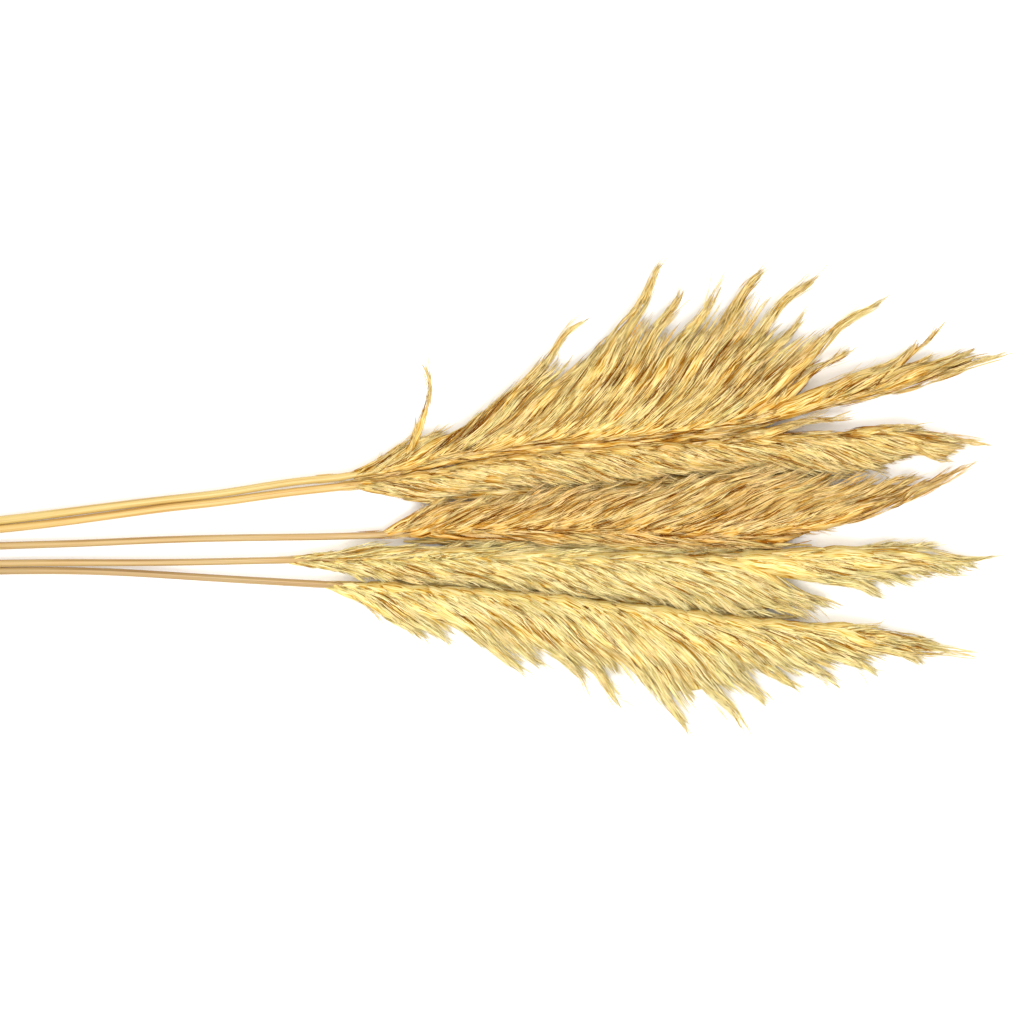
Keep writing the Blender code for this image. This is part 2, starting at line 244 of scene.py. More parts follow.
STEM_SIDES = 24
STEM_STEP = 4.0  # millimetres between two rings of a stem
STEM_RIBS = 9
STEM_RIB_HEIGHT = 0.03  # as a share of the stem's radius
STEM_SWELL = 0.02  # how much a stem is thicker here and thinner there, as a share
STEM_SWAY = 0.25  # millimetres that it sways to either side
SKIN_SWELL = 1.03  # a stem's round skin stands a little outside its solid, whose sides are flat
RIM = 0.35  # millimetres of skin round the pith of a cut end
PITH_SLOPE = 0.3  # millimetres over which the pith sinks in
PITH_DEPTH = 0.2
STEM_ROOT = 36  # millimetres that a stem runs on along its plume, ever thinner
STEM_RISE = 0.7  # millimetres that it stands out of the plume halfway along that run
STEM_OVERLAP = 1.5  # millimetres that a stalk's core runs into the end of its stem
JOINT_RUN = 60  # millimetres of a plume's start in which its locks lie lower
LESSER_GAP = 60  # millimetres at most between the roots of two locks with a lesser lock between
LESSER_BREADTH = 0.85  # how broad a lesser lock is beside its neighbours

# The curve of a lock, in shares of its length: how far it first heads along the stalk, and where
# and how much it bows.
LOCK_AHEAD = 0.25
LOCK_OUT = 0.6
LOCK_BOW = 0.65
WAVE = 1.7  # millimetres that a lock's tip waves to either side
WAVE_RUN = 46.0  # millimetres along a lock from one wave to the next
WAVE_SHIFT = 26.0  # millimetres along the stalk over which the wave moves by one radian
FLOW_STEPS = 40  # points that a lock's or stalk's middle line is worked out at
THINNEST = 0.3  # the least half breadth of a stalk or valley
SLEEVE = 20  # millimetres of stem below the plume that its first fibres lie on

# The core inside a lock, a stalk or a valley: how large it is beside the form itself, and the share
# of its length at which it ends.
CORES = {"lock": (0.86, 0.74), "stalk": (0.8, 0.94), "valley": (0.9, 0.96)}
CORE_STEP = 4.5  # millimetres along a core between two rings
CORE_SIDES = 0.06  # how far past its sides its top goes round, in half turns
CORE_UNDER = 8  # corners of each ring on its underside
CORE_CRIMP = 0.4  # millimetres that its ribs sway to either side
CORE_LOW = 0.5  # the lowest that it lies
FINE_RIB = 1.5  # millimetres from one ridge or furrow on top of a core to the next
COARSE_RIB = 3.0
RIB_SHARE = 0.09  # about how far a rib stands out, as a share of the half breadth
RIB_HEIGHT = 0.34  # and at most, in millimetres

# The mat over a fan of neighbouring locks. Shares are of a lock's length or its height.
FAN_GAP = 62  # millimetres between the roots of two locks that are still neighbours
MAT_SHARES = 49  # points along a lock from its root to its tip
MAT_STEPS = 6  # from one lock to the next
MAT_COLUMN = 16  # the point along the locks at which a mat's breadth is measured
MAT_THINS = 0.26  # the share of a lock's length over which it thins towards its end
MAT_EDGE = 0.6  # to this share of its height
MAT_CLOSES = 0.07  # the share of a lock's length over which its edge is rounded off
MAT_HEIGHT = 0.84
MAT_DIP = 0.2  # how much lower it lies between two locks, towards their tips
MAT_TUFT = 0.36  # millimetres that its tufts stand up or down
MAT_THICK = 2  # millimetres at least from a lock's middle line down to the mat's underside
MAT_LOWEST = 0.8  # the lowest that it lies

# The fibres' own map. Below FIBRE_TOP it holds single fibres by their lightness and warmth, and
# above MAT_LOW a sheet of combed hair for cores and mats, whose darkest streaks are painted shade.
FIBRE_TOP = 0.34
MAT_LOW = 0.38
MAT_HIGH = 0.98
SHEET_ACROSS = 150.0  # millimetres of hair from one side of the sheet to the other
SHEET_ALONG = 220.0
STREAK_SWAY = 0.02  # how far a streak of the sheet sways, as a share of the map
PAINTED_TOP_LIGHT = 0.1  # painted light and shade: how much lighter a strand is painted on its top than at its sides

# A clump is a few strands that lie side by side, draw together a little and lift towards their
# tips. A look takes a share of its plume's clumps or has a count, which for the painted shade
# cracks is in HAIR.
# Lengths are millimetres, and these are shares:
# depth: how far from the middle of its flow a clump lies
# first, last, nearest, furthest: where along a lock it starts and where it may end
# above: how many clumps lie on the upper side
# dark: how many strands are dark, painted shade as of the shaded gaps between hairs
# lighter, warmer: how much its strands differ from their plume's
BODY = {
    "rings": 2, "strands": 9, "length": 32.0, "half": (1.6, 3.4), "depth": (0.84, 1.0),
    "first": 0.0, "last": 0.86, "nearest": 0.88, "furthest": 1.02, "above": 0.86, "close": 0.45,
    "lift": 0.25, "lay": (0.0, 1.2), "lean": 0.0, "swing": 1.6, "splay": 1.6, "crimp": (0.2, 0.45),
    "crimp_run": (10.0, 17.0), "drift": 0.8, "width": (0.5, 1.0), "tone": 0.65, "uneven": 0.145,
    "clump_uneven": 0.05, "dark": 0.08, "lighter": 0.0, "warmer": 0.0,
}
ON_MAT = dict(
    BODY, share=0.45, length=42.0, last=0.52, lift=0.35, half=(1.4, 3.0), crimp_run=(14.0, 25.0),
    swing=1.2, drift=0.6, width=(0.5, 0.9),
)
OUTER = dict(BODY, share=0.38, first=0.42)
FREE = dict(
    BODY, share=0.52, length=20.0, half=(1.0, 2.6), width=(0.4, 0.8), swing=2.0, splay=1.0,
    uneven=0.21, dark=0.12,
)
ALONG = dict(
    BODY, share=0.16, length=24.0, depth=(0.72, 0.94), first=0.08, last=0.9, furthest=1.0,
    half=(1.0, 2.4), splay=0.8, above=0.8, dark=0.16, width=(0.4, 0.8), uneven=0.21, warmer=0.08,
)
SLEEVE_FIBRES = dict(
    BODY, count=8, rings=3, length=26.0, half=(0.4, 1.2), depth=(0.96, 1.06), lift=0.5,
    furthest=1.0, above=0.5, last=0.6, crimp=(0.05, 0.15), width=(0.22, 0.5), splay=0.3, swing=0.5,
    drift=0.2, close=0.2, lighter=-0.04, warmer=0.25,
)
TIPS = dict(
    BODY, count=4, rings=3, strands=5, length=30.0, half=(0.3, 1.6), depth=(0.1, 1.0), first=0.58,
    last=0.97, nearest=0.84, furthest=1.1, close=0.6, splay=2.0, lift=0.0, width=(0.24, 0.48),
    crimp=(0.25, 0.55), lighter=0.04,
)
STALK_TIP = dict(
    TIPS, count=30, strands=7, length=36.0, half=(0.4, 1.5), first=0.84, nearest=0.93,
    furthest=1.03, splay=1.4, lighter=0.0, warmer=0.05,
)
FRINGE = dict(
    BODY, count=90, rings=3, strands=6, length=27.0, half=(0.7, 1.7), first=0.4, last=0.9,
    nearest=0.6, furthest=1.0, close=0.92, lift=-0.6, lay=(-0.6, 0.6), swing=2.4, crimp=(0.2, 0.5),
    width=(0.3, 0.6), lighter=0.04,
)
# Painted shade: dark strands laid as the shaded gaps between hairs, on mats, along locks and stalks
# and in valleys.
PAINTED_SHADE_CRACKS = dict(
    BODY, strands=2, length=36.0, half=(0.0, 0.3), first=0.02, last=0.72, width=(0.45, 0.8),
    dark=1.0, lay=(0.9, 1.5), uneven=0.05, lift=0.0, lighter=-0.12, warmer=0.25,
)
PAINTED_SHADE_GAPS = dict(
    PAINTED_SHADE_CRACKS, count=9, length=15.0, last=0.9, width=(0.6, 0.95), depth=(0.92, 1.02), above=0.9,
    warmer=0.2,
)
STALK_PAINTED_SHADE_GAPS = dict(PAINTED_SHADE_GAPS, count=90)
# Painted shade: hair in the valleys between plumes is a little darker and has more dark strands.
VALLEY_HAIR = dict(
    BODY, count=60, dark=0.2, above=0.95, depth=(0.3, 1.0), half=(1.0, 2.4), splay=1.0, swing=1.2,
    lighter=-0.03, warmer=0.15,
)
VALLEY_PAINTED_SHADE_GAPS = dict(
    PAINTED_SHADE_GAPS, count=36, length=22.0, first=0.04, above=1.0, depth=(0.7, 1.1), half=(0.0, 1.2),
    swing=1.8,
)
WISPS = dict(
    BODY, count=230, rings=3, strands=3, length=40.0, half=(0.6, 2.0), depth=(0.9, 1.04),
    first=0.4, last=0.92, furthest=1.1, close=-0.3, lift=1.4, swing=3.0, splay=3.4,
    crimp=(0.3, 0.8), drift=1.2, width=(0.24, 0.44), lighter=0.04,
)

# How strands differ from each other, whatever their look.
EVENNESS = 14.0  # the higher it is, the less the clumps of one look differ in length
LENGTHS = (0.6, 1.6)  # the shortest and longest of them, as shares of the look's own length
CLUMP_WARMTH = 0.17  # how much clumps differ in warmth, and then the strands in one clump
STRAND_WARMTH = 0.1
LONG_PART = 0.62  # the usual share of its clump's length that a strand runs
DARK_PART = 0.85  # and a dark one
PART_UNEVEN = 0.15  # how much strands differ in that share
PART_LIMITS = (0.3, 0.98)  # and the least and the most that it is
DARKNESS = (0.25, 0.52)  # how much darker a dark strand is
DARK_WARMTH = 0.2  # and how much warmer
TIP_LIGHTER = 0.16  # how much lighter a clump is at its tip than at its start, as painted shade at its start under other hair
TAPER = ((0, 0.33, 0.67, 1), (0.3, 1.0, 0.85, 0.15))  # steps along a strand, and its width there
DARK_WIDTH = 0.7  # how wide a dark strand is beside a light one


def smooth_through(points, x):
    """The row of values at x on a smooth line through points, whose first value rises."""
    places = [p[0] for p in points]
    i = int(np.clip(np.searchsorted(places, x, side="right") - 1, 0, len(points) - 2))
    before = points[max(i - 1, 0)]
    here = points[i]
    after = points[i + 1]
    beyond = points[min(i + 2, len(points) - 1)]
    span = after[0] - here[0]
    t = (x - here[0]) / span
    row = [x]
    for k in range(1, len(here)):
        leave = (after[k] - before[k]) / (after[0] - before[0]) * span
        arrive = (beyond[k] - here[k]) / (beyond[0] - here[0]) * span
        row.append(
            (2 * t**3 - 3 * t**2 + 1) * here[k]
            + (t**3 - 2 * t**2 + t) * leave
            + (3 * t**2 - 2 * t**3) * after[k]
            + (t**3 - t**2) * arrive
        )
    return row


def linear(hex_colour):
    """An sRGB hex colour as linear red, green, blue and alpha."""
    values = [int(hex_colour[i:i + 2], 16) / 255 for i in (1, 3, 5)]
    return [v / 12.92 if v <= 0.04045 else ((v + 0.055) / 1.055) ** 2.4 for v in values] + [1.0]


def add_node(tree, kind, settings=None, links=None, stops=()):
    """Adds a node, sets its own settings and its sockets' values, and links its sockets.

    Stops are the places and colours of a ramp.
    """
    node = tree.nodes.new(kind)
    for name, value in (settings or {}).items():
        if isinstance(name, str) and hasattr(node, name):
            setattr(node, name, value)
        else:
            node.inputs[name].default_value = value
    for name, source in (links or {}).items():
        tree.links.new(source, node.inputs[name])
    if stops:
        elements = node.color_ramp.elements
        while len(elements) < len(stops):
            elements.new(0.5)
        for element, (place, colour) in zip(elements, stops):
            element.position = place
            element.color = linear(colour)
    return node


def stretched_noise(tree, source, scale, detail, roughness=0.5):
    """Noise on a map that is first scaled up by its own amount each way."""
    stretched = add_node(tree, "ShaderNodeMapping", {"Scale": scale}, {"Vector": source})
    noise = add_node(
        tree, "ShaderNodeTexNoise", {"Scale": 1.0, "Detail": detail, "Roughness": roughness},
        {"Vector": stretched.outputs["Vector"]},
    )
    return noise.outputs["Fac"]


def new_material(name, values):
    material = bpy.data.materials.new(name)
    material.use_nodes = True
    shader = material.node_tree.nodes["Principled BSDF"]
    for socket, value in values.items():
        shader.inputs[socket].default_value = value
    return material, material.node_tree, shader.inputs


def dried_plume_fibre(name):
    """Dried grass plume: silky fibres, dead straw gold, with painted brown shade in the depth of a
    lock.

    Low on the fibres' own map the first coordinate is how light a fibre is and the second is how
    warm, so fibres that share a spot share its colour. High on it fine streaks run lengthwise, as
    hairs combed side by side, slightly wavy, partly in their own differing tone and partly in
    painted shade: the darkest streaks are brown painted shade, as of the gaps between some hairs.
    """
    material, tree, shader = new_material(
        "dried_pampas_fibre_" + name, {"Roughness": 0.7, "Specular IOR Level": 0.01},
    )
    tone = PLUMES[name]["tone"]
    warmth = PLUMES[name]["warmth"]
    own_map = add_node(tree, "ShaderNodeUVMap", {"uv_map": "OFBake"}).outputs["UV"]
    split = add_node(tree, "ShaderNodeSeparateXYZ", links={"Vector": own_map}).outputs
    sway = stretched_noise(tree, own_map, (40.0, 24.0, 1.0), 1.0)
    swayed = add_node(
        tree, "ShaderNodeMath", {"operation": "MULTIPLY_ADD", 1: STREAK_SWAY},
        {0: sway, 2: split["X"]},
    )
    bent = add_node(
        tree, "ShaderNodeCombineXYZ", links={"X": swayed.outputs[0], "Y": split["Y"]},
    )
    streaks = stretched_noise(tree, bent.outputs["Vector"], (150.0, 19.0, 1.0), 2.5, 0.6)
    # The streaks' lightness is partly the hairs' own tone and partly painted shade: its low end
    # gives brown lines as of shaded gaps.
    combed_tone_and_shade = add_node(
        tree, "ShaderNodeMapRange",
        {"From Min": 0.3, "From Max": 0.68, "To Min": 0.04 + tone, "To Max": 0.96 + tone},
        {"Value": streaks},
    )
    mottled = add_node(
        tree, "ShaderNodeMapRange",
        {"From Min": 0.3, "From Max": 0.7, "To Min": warmth - 0.3, "To Max": warmth + 0.4},
        {"Value": sway},
    )
    warm = add_node(
        tree, "ShaderNodeMath", {"operation": "DIVIDE", 1: FIBRE_TOP}, {0: split["Y"]},
    )
    sheet = add_node(
        tree, "ShaderNodeMath", {"operation": "GREATER_THAN", 1: (FIBRE_TOP + MAT_LOW) / 2},
        {0: split["Y"]},
    )
    lightness = add_node(
        tree, "ShaderNodeMix",
        links={"Factor": sheet.outputs[0], "A": split["X"], "B": combed_tone_and_shade.outputs["Result"]},
    )
    warmness = add_node(
        tree, "ShaderNodeMix",
        links={"Factor": sheet.outputs[0], "A": warm.outputs[0], "B": mottled.outputs["Result"]},
    )
    pale, tan = (
        add_node(
            tree, "ShaderNodeValToRGB", links={"Fac": lightness.outputs["Result"]},
            stops=list(zip(HAIR_STOPS, colours)),
        )
        for colours in (PALE_HAIR, TAN_HAIR)
    )
    blend = add_node(
        tree, "ShaderNodeMix", {"data_type": "RGBA"},
        {
            "Factor": warmness.outputs["Result"],
            6: pale.outputs["Color"],
            7: tan.outputs["Color"],
        },
    )
    tree.links.new(blend.outputs[2], shader["Base Color"])
    return material


def dried_grass_stem(finish, straw):
    """Dried grass stem: a waxy straw skin with fine lengthwise fibres and a few brown flecks."""
    material, tree, shader = new_material(
        "dried_stem_skin_" + finish, {"Roughness": 0.42, "Coat Weight": 0.08},
    )
    run = add_node(tree, "ShaderNodeUVMap", {"uv_map": "stem_run"}).outputs["UV"]
    fine = stretched_noise(tree, run, (8.0, 1400.0, 1.0), 4.0, 0.55)
    broad = stretched_noise(tree, run, (14.0, 160.0, 1.0), 3.0)
    fibres = add_node(
        tree, "ShaderNodeValToRGB", links={"Fac": fine}, stops=list(zip(STRAW_STOPS, straw)),
    )
    flecks = add_node(
        tree, "ShaderNodeValToRGB", links={"Fac": broad},
        stops=((0.3, "#F0D8B4"), (0.62, "#FFFFFF")),
    )
    skin = add_node(
        tree, "ShaderNodeMix", {"data_type": "RGBA", "blend_type": "MULTIPLY", "Factor": 0.8},
        {6: fibres.outputs["Color"], 7: flecks.outputs["Color"]},
    )
    bump = add_node(
        tree, "ShaderNodeBump", {"Strength": 0.3, "Distance": 0.0002}, {"Height": fine},
    )
    tree.links.new(skin.outputs[2], shader["Base Color"])
    tree.links.new(bump.outputs["Normal"], shader["Normal"])
    return material


def cut_pith():
    """The cut end of a dried stem: dull, spongy, pale cream pith."""
    material, tree, shader = new_material("cut_stem_pith", {"Roughness": 0.9})
    place = add_node(tree, "ShaderNodeTexCoord")
    cells = add_node(
        tree, "ShaderNodeTexVoronoi", {"Scale": 2500.0}, {"Vector": place.outputs["Object"]},
    )
    pith = add_node(
        tree, "ShaderNodeValToRGB", links={"Fac": cells.outputs["Distance"]},
        stops=((0.0, "#F3E3BE"), (0.7, "#D9BE8A")),
    )
    tree.links.new(pith.outputs["Color"], shader["Base Color"])
    return material


def add_object(name, data):
    made = bpy.data.objects.new(name, data)
    bpy.context.scene.collection.objects.link(made)
    return made


def add_piece(name, mesh, materials, node):
    """Puts a finished mesh in the scene in place of the solid it stands for."""
    piece = add_object(name, mesh)
    for material in materials:
        mesh.materials.append(material)
    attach(piece, "root")
    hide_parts(node)
    return piece


# A flow is the middle line that fibres follow, with its sideways direction and its half breadth.
def make_flow(points, reach, tallness):
    points = np.asarray(points, float)
    steps = np.linalg.norm(np.diff(points, axis=0), axis=1)
    along = np.concatenate(((0.0,), np.cumsum(steps)))
    heading = np.gradient(points, axis=0)
    side = np.stack((-heading[:, 1], heading[:, 0], np.zeros(len(points))), axis=1)
    side /= np.linalg.norm(side, axis=1)[:, None]
    return {
        "share": along / along[-1],
        "length": along[-1],
        "points": points,
        "side": side,
        "reach": np.asarray(reach, float),
        "tallness": tallness,
    }


def lock_flow(plan, lock):
    """The flow of one lock, which leaves along the stalk and then swings out to its tip."""
    root_x, x, y, z, half_breadth, bow = lock
    root = np.array(smooth_through(plan["stalk"], root_x)[:3])
    ahead = np.array(smooth_through(plan["stalk"], root_x + 1)[:3]) - root
    ahead /= np.linalg.norm(ahead)
    tip = np.array((x, y, z), float)
    joined = 1 - np.clip((root_x - plan["stalk"][0][0]) / JOINT_RUN, 0, 1)
    crest = plan["crest"] - 0.9 * (plan["crest"] - root[2]) * joined
    tallness = plan["tallness"] - (plan["tallness"] - 1) * joined
    chord = tip - root
    length = np.linalg.norm(chord)
    forward = np.array((-chord[1], chord[0], 0.0)) / length
    if forward[0] < 0:
        forward = -forward
    near = root + ahead * LOCK_AHEAD * length
    far = root + chord * LOCK_OUT + forward * (bow + plan["more_bow"]) * LOCK_BOW * length
    near[2] += 0.5 * (crest - root[2])
    far[2] = crest
    t = np.linspace(0, 1, FLOW_STEPS)[:, None]
    points = root * (1 - t) ** 3 + near * 3 * t * (1 - t) ** 2 + far * 3 * t**2 * (1 - t)
    points = points + tip * t**3
    wave = np.sin(2 * np.pi * t * length / WAVE_RUN + root_x / WAVE_SHIFT)
    points = points + forward * wave * WAVE * t**1.5
    reach = np.interp(t[:, 0], *zip(*LOCK_SHAPE)) * half_breadth
    return make_flow(points, reach, tallness)


def rows_along(points, start):
    """Rows at even steps on a smooth line through points, from start to its end."""
    places = np.linspace(start, points[-1][0], FLOW_STEPS)
    return np.array([smooth_through(points, x) for x in places])


def stalk_flow(plan):
    stalk = plan["stalk"]
    rows = rows_along(stalk, stalk[0][0] - STEM_OVERLAP)
    joined = 1 - np.clip((rows[:, 0] - stalk[0][0]) / STEM_ROOT, 0, 1)
    rows[:, 2] -= (plan["tallness"] - 1) * rows[:, 3] * joined
    reach = np.maximum(rows[:, 3] * (1 - 0.25 * joined), THINNEST)
    return make_flow(rows[:, :3], reach, plan["tallness"])


def valley_flow(points):
    rows = rows_along(points, points[0][0])
    return make_flow(rows[:, :3], np.maximum(rows[:, 3], THINNEST), 1.0)


def sleeve_flow(name):
    """The end of the stem and the start of the stalk, which a plume's first fibres lie on."""
    route, (thick, thin), _ = STEMS[name.replace("plume", "stem")]
    stalk = PLUMES[name]["stalk"]
    run = route[-1][0] - route[0][0]
    rows = []
    for x in np.linspace(stalk[0][0] - SLEEVE, stalk[0][0] + 3 * SLEEVE, FLOW_STEPS):
        if x < stalk[0][0]:
            share = (x - route[0][0]) / run
            z = thick + (PLUME_HEIGHT - thick) * share
            rows.append([x, smooth_through(route, x)[1], z, thick + (thin - thick) * share])
        else:
            rows.append(smooth_through(stalk, x))
    rows = np.array(rows)
    return make_flow(rows[:, :3], rows[:, 3], 1.0)


def follow(flow, share):
    """A flow's points, sideways directions and half breadths at shares of its length."""
    points, side = (
        np.stack([np.interp(share, flow["share"], flow[key][:, k]) for k in range(3)], -1)
        for key in ("points", "side")
    )
    return points, side, np.interp(share, flow["share"], flow["reach"])


def tube_faces(rings, sides):
    """The corners and sizes of a closed tube's faces: a pole, rings of vertices, another pole."""
    corners = []
    sizes = []
    last = 1 + rings * sides
    top = last - sides
    for k in range(sides):
        n = (k + 1) % sides
        corners += [0, 1 + n, 1 + k, last, top + k, top + n]
        sizes += [3, 3]
        for low in range(1, top, sides):
            corners += [low + k, low + n, low + sides + n, low + sides + k]
            sizes.append(4)
    return np.array(corners), np.array(sizes)


class Fibres:
    """Closed tubes gathered for one mesh: their vertices, faces and place on the colour map."""

    def __init__(self):
        self.tubes = []
        self.count = 0

    def take(self, vertices, spots, rings, sides):
        """Adds tubes of one kind. Both arrays are (tubes, 2 + rings * sides, values)."""
        corners, sizes = tube_faces(rings, sides)
        tubes, per = vertices.shape[:2]
        first = self.count + np.arange(tubes)[:, None] * per
        spots = np.clip(spots.reshape(-1, 2), 0.01, 0.99)
        corners = (first + corners).ravel()
        self.tubes.append((vertices.reshape(-1, 3), spots, corners, np.tile(sizes, tubes)))
        self.count += tubes * per

    def take_tube(self, poles, rings, pole_spots, ring_spots):
        """Adds one tube: the two poles at its ends, the rings between them, and their spots."""
        vertices = np.concatenate((poles[:1], rings.reshape(-1, 3), poles[1:]))
        spots = np.concatenate((pole_spots[:1], ring_spots.reshape(-1, 2), pole_spots[1:]))
        self.take(vertices[None], spots[None], *rings.shape[:2])

    def mesh(self, name):
        vertices, spots, corners, sizes = (np.concatenate(part) for part in zip(*self.tubes))
        print(name, (sizes - 2).sum(), "triangles")
        vertices = (vertices - MIDDLE) * MM
        made = bpy.data.meshes.new(name)
        made.vertices.add(len(vertices))
        made.vertices.foreach_set("co", vertices.astype(np.float32).ravel())
        made.loops.add(len(corners))
        made.loops.foreach_set("vertex_index", corners.astype(np.int32))
        made.polygons.add(len(sizes))
        starts = np.concatenate(((0,), np.cumsum(sizes)[:-1]))
        made.polygons.foreach_set("loop_start", starts.astype(np.int32))
        made.update(calc_edges=True)
        made.shade_smooth()
        own_map = made.uv_layers.new(name="OFBake")
        own_map.data.foreach_set("uv", spots[corners].astype(np.float32).ravel())
        made.validate()
        return made


def add_strands(fibres, paths, widths, tones, warmths, rolls):
    """Three-sided tapered strands, pointed at both ends, along paths of (strands, steps, 3)."""
    sides = 3
    strands, steps = paths.shape[:2]
    rings = steps - 2
    heading = np.gradient(paths, axis=1)
    heading /= np.maximum(np.linalg.norm(heading, axis=2), 1e-9)[..., None]
    across = np.stack((-heading[..., 1], heading[..., 0], np.zeros(heading.shape[:2])), -1)
    across /= np.maximum(np.linalg.norm(across, axis=2), 1e-9)[..., None]
    up = np.cross(heading, across)
    turn = (rolls[:, None] + 2 * np.pi * np.arange(sides) / sides)[:, None, :, None]
    around = across[:, 1:-1, None] * np.cos(turn) + up[:, 1:-1, None] * np.sin(turn)
    around = paths[:, 1:-1, None] + around * widths[:, 1:-1, None, None] / 2
    vertices = np.concatenate((paths[:, :1], around.reshape(strands, -1, 3), paths[:, -1:]), axis=1)
    # Painted light and shade: each strand is lighter on its top side and darker at its sides.
    light = (tones[:, 1:-1, None] + PAINTED_TOP_LIGHT * np.sin(turn[..., 0])).reshape(strands, -1)
    light = np.concatenate((tones[:, :1], light, tones[:, -1:]), axis=1)
    shift = np.concatenate(((0.01,), np.tile(np.arange(sides) * 0.01, rings), (0.01,)))
    warm = np.clip(warmths[:, None], 0.03, 0.96) + shift
    fibres.take(vertices, np.stack((light, warm * FIBRE_TOP), -1), rings, sides)


def soften(rough, along):
    """Smooths an array of (rings, sides) along its rings, and brings its spread to one."""
    padded = np.pad(rough, ((along, along), (0, 0)), mode="edge")
    rough = sum(padded[k:k + len(rough)] for k in range(2 * along + 1))
    return rough / rough.std()


def fold(value):
    """Runs to and fro between 0 and 1 as the value rises."""
    return 1 - np.abs(np.asarray(value) % 2 - 1)


def on_sheet(across, along):
    """Where a spot of combed hair lies on the fibres' own map, from its millimetres."""
    up = MAT_LOW + (MAT_HIGH - MAT_LOW) * fold(np.asarray(along) / SHEET_ALONG)
    return np.stack((0.01 + 0.98 * fold(np.asarray(across) / SHEET_ACROSS), up), -1)


def add_core(fibres, draw, flow, kind, rib):
    """The inside of a lock: its form a little smaller, with crimped ribs as of combed fibres."""
    size, until = CORES[kind]
    girth = 2 * math.pi * flow["reach"].max() * size * math.sqrt((1 + flow["tallness"] ** 2) / 2)
    top = max(6, int(girth / 2 / rib))
    rings = max(6, int(flow["length"] * until / CORE_STEP))
    share = np.linspace(0, until, rings)
    points, side, reach = follow(flow, share)
    reach = reach * size * np.interp(share / until, (0, 0.7, 1), (1, 1, 0.3))
    sides_at = np.array((-CORE_SIDES, 1 + CORE_SIDES, 2 - CORE_SIDES)) * np.pi
    turn = np.concatenate((
        np.linspace(sides_at[0], sides_at[1], top, endpoint=False),
        np.linspace(sides_at[1], sides_at[2], CORE_UNDER, endpoint=False),
    ))
    sides = len(turn)
    furrows = np.where(np.arange(sides) % 2, 0.75, -0.75)
    ribs = np.clip(furrows + 0.6 * soften(draw.normal(0, 1, (rings, sides)), 1), -1.8, 1.8)
    place = share * flow["length"] / draw.uniform(11, 16) * 2 * np.pi
    crimp = CORE_CRIMP * np.sin(place + draw.uniform(0, 6)) / np.maximum(reach, 2)
    turn = turn + crimp[:, None]
    out = reach[:, None] + ribs * np.minimum(RIB_HEIGHT, RIB_SHARE * reach)[:, None]
    tall = out + reach[:, None] * (flow["tallness"] - 1)
    around = points[:, None] + side[:, None] * (np.cos(turn) * out)[..., None]
    around[..., 2] += np.sin(turn) * tall
    around[..., 2] = np.maximum(around[..., 2], CORE_LOW)
    ends = points[[0, -1]] + np.array(((0, 0, 0), (0, 0, 0.01)))
    ends[:, 2] = np.maximum(ends[:, 2], CORE_LOW)
    seam = np.minimum(np.arange(sides), np.maximum(sides - np.arange(sides), 0) * top / CORE_UNDER)
    across = draw.uniform(0, 2 * SHEET_ACROSS) + seam * rib
    along = draw.uniform(0, 2 * SHEET_ALONG) + share * flow["length"]
    spots = on_sheet(*np.broadcast_arrays(across, along[:, None]))
    fibres.take_tube(ends, around, on_sheet(across[[0, 0]], along[[0, -1]]), spots)


def fans(plan):
    """Groups of neighbouring locks that leave the stalk on one side: (side, locks)."""
    stalk = plan["stalk"]
    found = []
    for side in (1, -1):
        group = []
        for lock in sorted(plan["locks"]):
            stalk_y = smooth_through(stalk, min(lock[1], stalk[-1][0]))[1]
            if is_stray(plan, lock) or side * (lock[2] - stalk_y) < 0:
                continue
            if group and (lock[0] - group[-1][0] > FAN_GAP or are_parted(plan, group[-1], lock)):
                found.append((side, group))
                group = []
            group.append(lock)
        found.append((side, group))
    return [(side, group) for side, group in found if len(group) > 1]


def is_stray(plan, lock):
    return lock[0] in plan["strays"]


def are_parted(plan, lock, after):
    return lock[0] < plan["mat_break"] < after[0]


def make_mat(plan, side, group):
    """The top of the hair that joins a fan's locks, from lock to lock and from root to tip."""
    end = plan["mat_end"]
    shares = np.linspace(0, 1, MAT_SHARES)
    rows = []
    for i, lock in enumerate(group):
        flow = lock_flow(plan, lock)
        points, _, reach = follow(flow, shares)
        rows.append((i, points, reach * flow["tallness"]))
    places = np.linspace(0, len(group) - 1, MAT_STEPS * (len(group) - 1) + 1)
    made = [smooth_through(rows, s) for s in places]
    middle = np.array([row[1] for row in made])
    height = np.array([row[2] for row in made])
    dip = np.sin(np.pi * places)[:, None] ** 2 * MAT_DIP * np.clip(shares / end, 0, 1)
    height = height * np.interp(shares, (end - MAT_THINS, end), (1, MAT_EDGE))
    top = middle.copy()
    top[..., 2] += height * MAT_HEIGHT * (1 - dip)
    outward = np.gradient(top, axis=1)
    onward = np.gradient(top, axis=0)
    up = np.cross(onward, outward) * side
    up /= np.linalg.norm(up, axis=2)[..., None]
    up[..., 2] = np.maximum(up[..., 2], 0.1)
    steps = np.linalg.norm(outward, axis=2)
    ahead = outward / steps[..., None]
    straight = onward - (onward * ahead).sum(2)[..., None] * ahead
    spacing = np.maximum(np.linalg.norm(straight, axis=2), 0.3)
    up /= np.linalg.norm(up, axis=2)[..., None]
    length = steps.sum(1)
    return {
        "side": side, "end": end, "top": top, "up": up, "middle": middle, "height": height,
        "spacing": spacing, "length": length, "columns": spacing[:, MAT_COLUMN] * length,
    }


